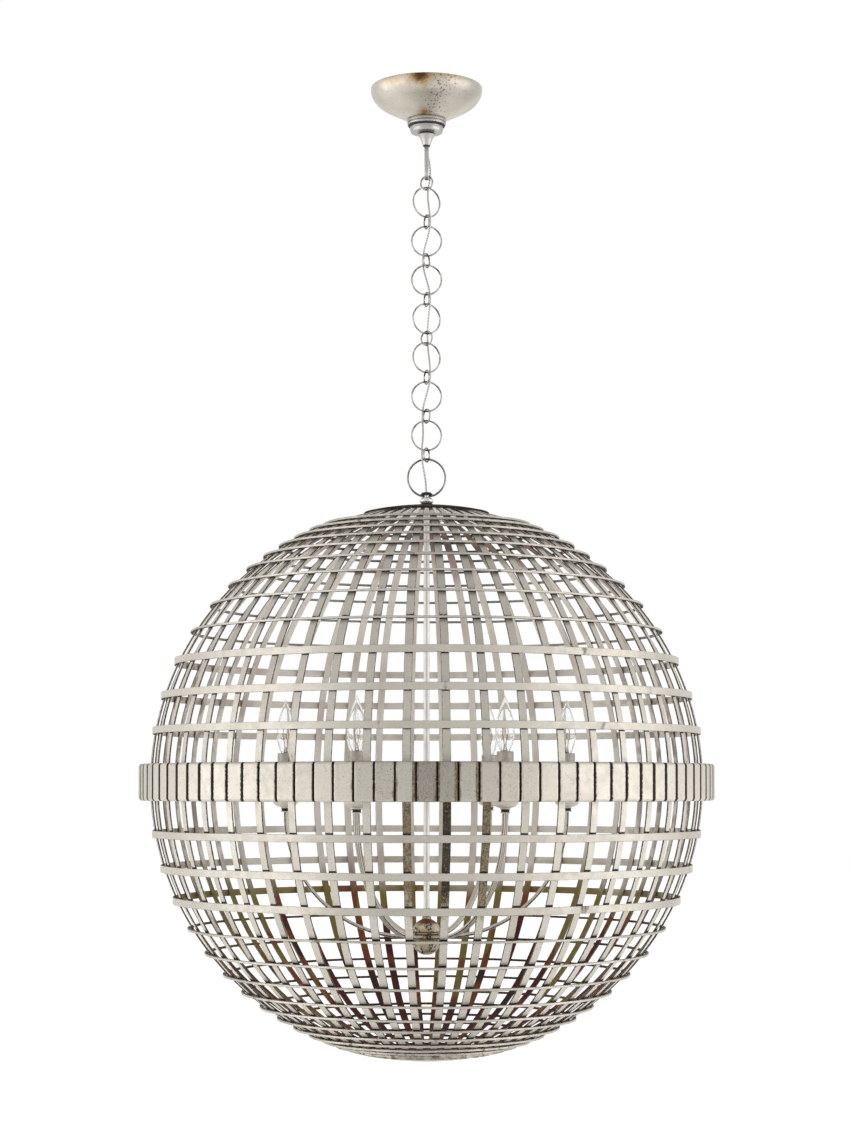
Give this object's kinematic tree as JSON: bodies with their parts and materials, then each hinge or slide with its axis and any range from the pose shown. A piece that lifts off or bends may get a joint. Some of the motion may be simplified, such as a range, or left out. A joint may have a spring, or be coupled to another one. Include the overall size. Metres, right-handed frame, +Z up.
{
  "type": "orb chandelier",
  "caption": "Open iron sphere of flat ribs and stacked rings with a wide strip belt, hung on a ring chain, with candle lamps on curved arms inside.",
  "frame": {"origin": "centre of the crossbar's two screw slots, in the plane of the ceiling, on the axis that the chain and the cage hang on", "axes": "+Z up the axis into the ceiling, +X along the crossbar to the right, -Y towards the viewer"},
  "size_m": [0.7714, 0.7714, 1.3216],
  "materials": {
    "cage_leaf": "aged champagne leaf over iron",
    "belt_leaf": "champagne leaf, rubbed brown in the joints",
    "canopy_leaf": "aged champagne leaf with brown stains",
    "chain_leaf": "aged champagne leaf",
    "lamp_leaf": "aged champagne leaf, darker in the hollows",
    "zinc_fittings": "zinc plated",
    "bulb_glass": "clear",
    "bulb_base": "plain",
    "socket": "moulded",
    "cord": "clear over tinned wire"
  },
  "bodies": {
    "ceiling_mount": {"ceiling_crossbar": "zinc_fittings", "canopy_nipple": "zinc_fittings", "nipple_nuts": "zinc_fittings", "canopy_loop": "chain_leaf", "supply_cord": "cord"},
    "canopy_cover": {"canopy": "canopy_leaf", "canopy_collar": "canopy_leaf"},
    "chain_link_1": {"chain_link_1": "chain_leaf"},
    "chain_link_2": {"chain_link_2": "chain_leaf"},
    "chain_link_3": {"chain_link_3": "chain_leaf"},
    "chain_link_4": {"chain_link_4": "chain_leaf"},
    "chain_link_5": {"chain_link_5": "chain_leaf"},
    "chain_link_6": {"chain_link_6": "chain_leaf"},
    "chain_link_7": {"chain_link_7": "chain_leaf"},
    "chain_link_8": {"chain_link_8": "chain_leaf"},
    "chain_ring_1": {"chain_ring_1": "chain_leaf"},
    "chain_ring_2": {"chain_ring_2": "chain_leaf"},
    "chain_ring_3": {"chain_ring_3": "chain_leaf"},
    "chain_ring_4": {"chain_ring_4": "chain_leaf"},
    "chain_ring_5": {"chain_ring_5": "chain_leaf"},
    "chain_ring_6": {"chain_ring_6": "chain_leaf"},
    "chain_ring_7": {"chain_ring_7": "chain_leaf"},
    "lamp_bulb_1": {"bulb_1": "bulb_glass", "bulb_base_1": "bulb_base"},
    "lamp_bulb_2": {"bulb_2": "bulb_glass", "bulb_base_2": "bulb_base"},
    "lamp_bulb_3": {"bulb_3": "bulb_glass", "bulb_base_3": "bulb_base"},
    "lamp_bulb_4": {"bulb_4": "bulb_glass", "bulb_base_4": "bulb_base"},
    "lamp_bulb_5": {"bulb_5": "bulb_glass", "bulb_base_5": "bulb_base"},
    "lamp_bulb_6": {"bulb_6": "bulb_glass", "bulb_base_6": "bulb_base"},
    "cage": {"belt_strips": "belt_leaf", "bottom_plate": "cage_leaf", "cage_loop": "chain_leaf", "cage_loop_nut": "cage_leaf", "cage_neck": "cage_leaf", "cage_ribs": "cage_leaf", "candle_sleeves": "lamp_leaf", "centre_rod": "lamp_leaf", "equator_hoops": "cage_leaf", "hub_body": "lamp_leaf", "hub_bottom": "lamp_leaf", "hub_neck": "lamp_leaf", "hub_top": "lamp_leaf", "lamp_arms": "lamp_leaf", "lamp_cups": "lamp_leaf", "lamp_sockets": "socket", "lower_hoops": "cage_leaf", "lower_rings": "cage_leaf", "top_plate": "cage_leaf", "upper_hoops": "cage_leaf", "upper_rings": "cage_leaf"}
  },
  "joints": [
    {"name": "canopy_drop", "type": "slide", "parent": "ceiling_mount", "child": "canopy_cover", "axis": [0, 0, -1], "range_m": [0, 0.055]},
    {"name": "chain_link_1_swing", "type": "hinge", "parent": "ceiling_mount", "child": "chain_link_1", "pos_m": [0, 0, -0.12295], "axis": [0.5, 0.866, 0], "range_deg": [-15, 15], "deforming": ["supply_cord"]},
    {"name": "chain_ring_1_swing", "type": "hinge", "parent": "chain_link_1", "child": "chain_ring_1", "pos_m": [0, 0, -0.13745], "axis": [-0.454, 0.891, 0], "range_deg": [-20, 20], "deforming": ["supply_cord"]},
    {"name": "chain_link_2_swing", "type": "hinge", "parent": "chain_ring_1", "child": "chain_link_2", "pos_m": [0, 0, -0.1748], "axis": [-0.9397, -0.342, 0], "range_deg": [-20, 20], "deforming": ["supply_cord"]},
    {"name": "chain_ring_2_swing", "type": "hinge", "parent": "chain_link_2", "child": "chain_ring_2", "pos_m": [0, 0, -0.19035], "axis": [0, -1, 0], "range_deg": [-20, 20], "deforming": ["supply_cord"]},
    {"name": "chain_link_3_swing", "type": "hinge", "parent": "chain_ring_2", "child": "chain_link_3", "pos_m": [0, 0, -0.2277], "axis": [0.9063, -0.4226, 0], "range_deg": [-20, 20], "deforming": ["supply_cord"]},
    {"name": "chain_ring_3_swing", "type": "hinge", "parent": "chain_link_3", "child": "chain_ring_3", "pos_m": [0, 0, -0.24325], "axis": [0, 1, 0], "range_deg": [-20, 20], "deforming": ["supply_cord"]},
    {"name": "chain_link_4_swing", "type": "hinge", "parent": "chain_ring_3", "child": "chain_link_4", "pos_m": [0, 0, -0.2806], "axis": [-0.9397, -0.342, 0], "range_deg": [-20, 20], "deforming": ["supply_cord"]},
    {"name": "chain_ring_4_swing", "type": "hinge", "parent": "chain_link_4", "child": "chain_ring_4", "pos_m": [0, 0, -0.29615], "axis": [0.4226, -0.9063, 0], "range_deg": [-20, 20], "deforming": ["supply_cord"]},
    {"name": "chain_link_5_swing", "type": "hinge", "parent": "chain_ring_4", "child": "chain_link_5", "pos_m": [0, 0, -0.3335], "axis": [0.6157, 0.788, 0], "range_deg": [-20, 20], "deforming": ["supply_cord"]},
    {"name": "chain_ring_5_swing", "type": "hinge", "parent": "chain_link_5", "child": "chain_ring_5", "pos_m": [0, 0, -0.34905], "axis": [-0.4226, 0.9063, 0], "range_deg": [-20, 20], "deforming": ["supply_cord"]},
    {"name": "chain_link_6_swing", "type": "hinge", "parent": "chain_ring_5", "child": "chain_link_6", "pos_m": [0, 0, -0.3864], "axis": [-0.9397, -0.342, 0], "range_deg": [-20, 20], "deforming": ["supply_cord"]},
    {"name": "chain_ring_6_swing", "type": "hinge", "parent": "chain_link_6", "child": "chain_ring_6", "pos_m": [0, 0, -0.40195], "axis": [0.0872, -0.9962, 0], "range_deg": [-20, 20], "deforming": ["supply_cord"]},
    {"name": "chain_link_7_swing", "type": "hinge", "parent": "chain_ring_6", "child": "chain_link_7", "pos_m": [0, 0, -0.4393], "axis": [0.8829, 0.4695, 0], "range_deg": [-20, 20], "deforming": ["supply_cord"]},
    {"name": "chain_ring_7_swing", "type": "hinge", "parent": "chain_link_7", "child": "chain_ring_7", "pos_m": [0, 0, -0.45485], "axis": [-0.0872, 0.9962, 0], "range_deg": [-20, 20], "deforming": ["supply_cord"]},
    {"name": "chain_link_8_swing", "type": "hinge", "parent": "chain_ring_7", "child": "chain_link_8", "pos_m": [0, 0, -0.4922], "axis": [-0.9135, 0.4067, 0], "range_deg": [-20, 20], "deforming": ["supply_cord"]},
    {"name": "cage_swing", "type": "hinge", "parent": "chain_link_8", "child": "cage", "pos_m": [0, 0, -0.50775], "axis": [0, -1, 0], "range_deg": [-18, 18], "deforming": ["supply_cord"]},
    {"name": "bulb_1_unscrew", "type": "slide", "parent": "cage", "child": "lamp_bulb_1", "axis": [0, 0, 1], "range_m": [0, 0.03]},
    {"name": "bulb_2_unscrew", "type": "slide", "parent": "cage", "child": "lamp_bulb_2", "axis": [0, 0, 1], "range_m": [0, 0.03]},
    {"name": "bulb_3_unscrew", "type": "slide", "parent": "cage", "child": "lamp_bulb_3", "axis": [0, 0, 1], "range_m": [0, 0.03]},
    {"name": "bulb_4_unscrew", "type": "slide", "parent": "cage", "child": "lamp_bulb_4", "axis": [0, 0, 1], "range_m": [0, 0.03]},
    {"name": "bulb_5_unscrew", "type": "slide", "parent": "cage", "child": "lamp_bulb_5", "axis": [0, 0, 1], "range_m": [0, 0.03]},
    {"name": "bulb_6_unscrew", "type": "slide", "parent": "cage", "child": "lamp_bulb_6", "axis": [0, 0, 1], "range_m": [0, 0.03]}
  ]
}
